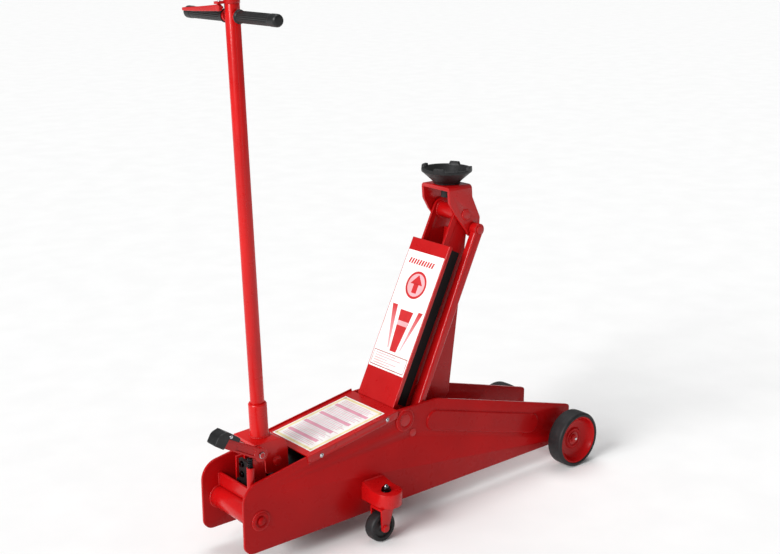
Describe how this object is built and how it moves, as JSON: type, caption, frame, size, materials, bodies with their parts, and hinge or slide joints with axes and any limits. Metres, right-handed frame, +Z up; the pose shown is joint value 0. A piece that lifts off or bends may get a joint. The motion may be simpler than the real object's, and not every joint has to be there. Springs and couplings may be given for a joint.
{
  "type": "trolley jack",
  "caption": "Long-chassis trolley jack with high-lift arm, swivel saddle, pump handle with T-bar, foot pedal, front wheels and rear swivel casters.",
  "frame": {"origin": "on the floor, below the middle of the jack's length and width", "axes": "+X along the chassis to the large front wheels, +Y to the jack's left side, +Z up"},
  "size_m": [1.3576, 0.419, 1.4772],
  "materials": {
    "red_enamel": "gloss enamel",
    "pump_black": "black painted casting",
    "saddle_black": "black oxide, slightly worn",
    "bright_steel": "bright zinc plate",
    "ground_steel": "ground and hard-chromed rod",
    "grip_rubber": "moulded rubber",
    "tyre_rubber": "solid rubber",
    "spring_steel": "oiled spring wire"
  },
  "bodies": {
    "chassis": {"side_plate_right": "red_enamel", "side_plate_left": "red_enamel", "rear_cross_tube": "red_enamel", "rear_cross_plate": "red_enamel", "front_tie_rod": "red_enamel", "side_bosses": "red_enamel", "top_cover": "red_enamel", "cover_screws": "bright_steel", "pump_block": "pump_black", "pump_bolts": "bright_steel", "cylinder_barrel": "pump_black", "cylinder_gland": "bright_steel", "reservoir_tube": "pump_black", "plunger_spring": "spring_steel", "pedal_bracket": "red_enamel", "pump_side_plate": "red_enamel", "foot_pump_barrel": "red_enamel", "front_stub_axles": "red_enamel", "caster_brackets": "red_enamel", "caster_king_pins": "bright_steel", "arm_pivot_shaft": "red_enamel", "tie_lower_pins": "red_enamel"},
    "lift_arm": {"arm_plate_left": "red_enamel", "arm_plate_right": "red_enamel", "arm_pivot_tube": "red_enamel", "arm_head_tube": "red_enamel", "arm_web": "red_enamel", "arm_guard": "red_enamel", "crank_pin": "bright_steel"},
    "left_tie": {"tie_bar_left": "red_enamel"},
    "right_tie": {"tie_bar_right": "red_enamel"},
    "saddle_head": {"saddle_bracket": "red_enamel", "head_pin": "red_enamel", "tie_upper_pins": "red_enamel"},
    "saddle_cup": {"saddle": "saddle_black"},
    "ram": {"ram_rod": "ground_steel", "ram_fork": "red_enamel"},
    "handle": {"yoke": "red_enamel", "yoke_bolt": "bright_steel", "pump_roller": "bright_steel", "handle_sleeve": "red_enamel", "sleeve_screw": "bright_steel", "handle_tube": "red_enamel", "handle_cap": "red_enamel", "cross_bar": "red_enamel", "grips": "grip_rubber"},
    "release_trigger": {"release_lever": "red_enamel"},
    "release_link": {"release_rod": "bright_steel"},
    "hand_pump_plunger": {"hand_plunger": "ground_steel"},
    "pedal": {"pedal_arm": "red_enamel", "pedal_pad": "grip_rubber"},
    "foot_pump_plunger": {"foot_plunger": "ground_steel"},
    "front_wheel_l": {"front_wheel_left": "red_enamel", "front_tyre_left": "tyre_rubber"},
    "front_wheel_r": {"front_wheel_right": "red_enamel", "front_tyre_right": "tyre_rubber"},
    "caster_l": {"caster_fork_left": "red_enamel"},
    "caster_r": {"caster_fork_right": "red_enamel"},
    "caster_roller_l": {"caster_wheel_left": "tyre_rubber"},
    "caster_roller_r": {"caster_wheel_right": "tyre_rubber"}
  },
  "joints": [
    {"name": "arm_lift", "type": "hinge", "parent": "chassis", "child": "lift_arm", "pos_m": [-0.054, 0, 0.296], "axis": [0, 1, 0], "range_deg": [0, 78]},
    {"name": "left_tie_swing", "type": "hinge", "parent": "chassis", "child": "left_tie", "pos_m": [-0.024, 0.0725, 0.251], "axis": [0, 1, 0], "range_deg": [0, 79]},
    {"name": "right_tie_swing", "type": "hinge", "parent": "chassis", "child": "right_tie", "pos_m": [-0.024, -0.0725, 0.251], "axis": [0, 1, 0], "range_deg": [0, 79]},
    {"name": "saddle_level", "type": "hinge", "parent": "lift_arm", "child": "saddle_head", "pos_m": [0.21201, 0, 0.84383], "axis": [0, 1, 0], "range_deg": [-79, 0]},
    {"name": "saddle_swivel", "type": "hinge", "parent": "saddle_head", "child": "saddle_cup", "pos_m": [0.18951, 0, 0.92983], "axis": [0, 0, 1], "continuous": true},
    {"name": "ram_stroke", "type": "slide", "parent": "chassis", "child": "ram", "axis": [1, 0, 0], "range_m": [-0.128, 0]},
    {"name": "handle_swing", "type": "hinge", "parent": "chassis", "child": "handle", "pos_m": [-0.461, 0, 0.272], "axis": [0, -1, 0], "range_deg": [0, 60]},
    {"name": "release_squeeze", "type": "hinge", "parent": "handle", "child": "release_trigger", "pos_m": [-0.55142, 0.01, 1.45444], "axis": [0.9993, 0, 0.0375], "range_deg": [-4, 0]},
    {"name": "release_pull", "type": "slide", "parent": "handle", "child": "release_link", "axis": [-0.0375, 0, 0.9993], "range_m": [0, 0.004]},
    {"name": "hand_pump_stroke", "type": "slide", "parent": "chassis", "child": "hand_pump_plunger", "axis": [0, 0, 1], "range_m": [-0.0275, 0], "deforming": ["plunger_spring"]},
    {"name": "pedal_press", "type": "hinge", "parent": "chassis", "child": "pedal", "pos_m": [-0.531, -0.077, 0.318], "axis": [0, -1, 0], "range_deg": [0, 22]},
    {"name": "foot_pump_stroke", "type": "slide", "parent": "chassis", "child": "foot_pump_plunger", "axis": [0, 0, 1], "range_m": [-0.0095, 0]},
    {"name": "front_left_spin", "type": "hinge", "parent": "chassis", "child": "front_wheel_l", "pos_m": [0.591, 0.163, 0.0875], "axis": [0, 1, 0], "continuous": true},
    {"name": "front_right_spin", "type": "hinge", "parent": "chassis", "child": "front_wheel_r", "pos_m": [0.591, -0.163, 0.0875], "axis": [0, 1, 0], "continuous": true},
    {"name": "caster_left_swivel", "type": "hinge", "parent": "chassis", "child": "caster_l", "pos_m": [-0.179, 0.1695, 0.1], "axis": [0, 0, 1], "continuous": true},
    {"name": "caster_right_swivel", "type": "hinge", "parent": "chassis", "child": "caster_r", "pos_m": [-0.179, -0.1695, 0.1], "axis": [0, 0, 1], "continuous": true},
    {"name": "caster_left_spin", "type": "hinge", "parent": "caster_l", "child": "caster_roller_l", "pos_m": [-0.201, 0.1695, 0.0425], "axis": [0, 1, 0], "continuous": true},
    {"name": "caster_right_spin", "type": "hinge", "parent": "caster_r", "child": "caster_roller_r", "pos_m": [-0.201, -0.1695, 0.0425], "axis": [0, 1, 0], "continuous": true}
  ],
  "couplings": [
    {"joint": "left_tie_swing", "follows": "arm_lift", "ratio": 1},
    {"joint": "right_tie_swing", "follows": "arm_lift", "ratio": 1},
    {"joint": "saddle_level", "follows": "arm_lift", "ratio": -1},
    {"joint": "ram_stroke", "follows": "arm_lift", "m_per_rad": -0.0932},
    {"joint": "hand_pump_stroke", "follows": "handle_swing", "m_per_rad": -0.0262},
    {"joint": "foot_pump_stroke", "follows": "pedal_press", "m_per_rad": -0.0225},
    {"joint": "release_pull", "follows": "release_squeeze", "m_per_rad": -0.055}
  ]
}
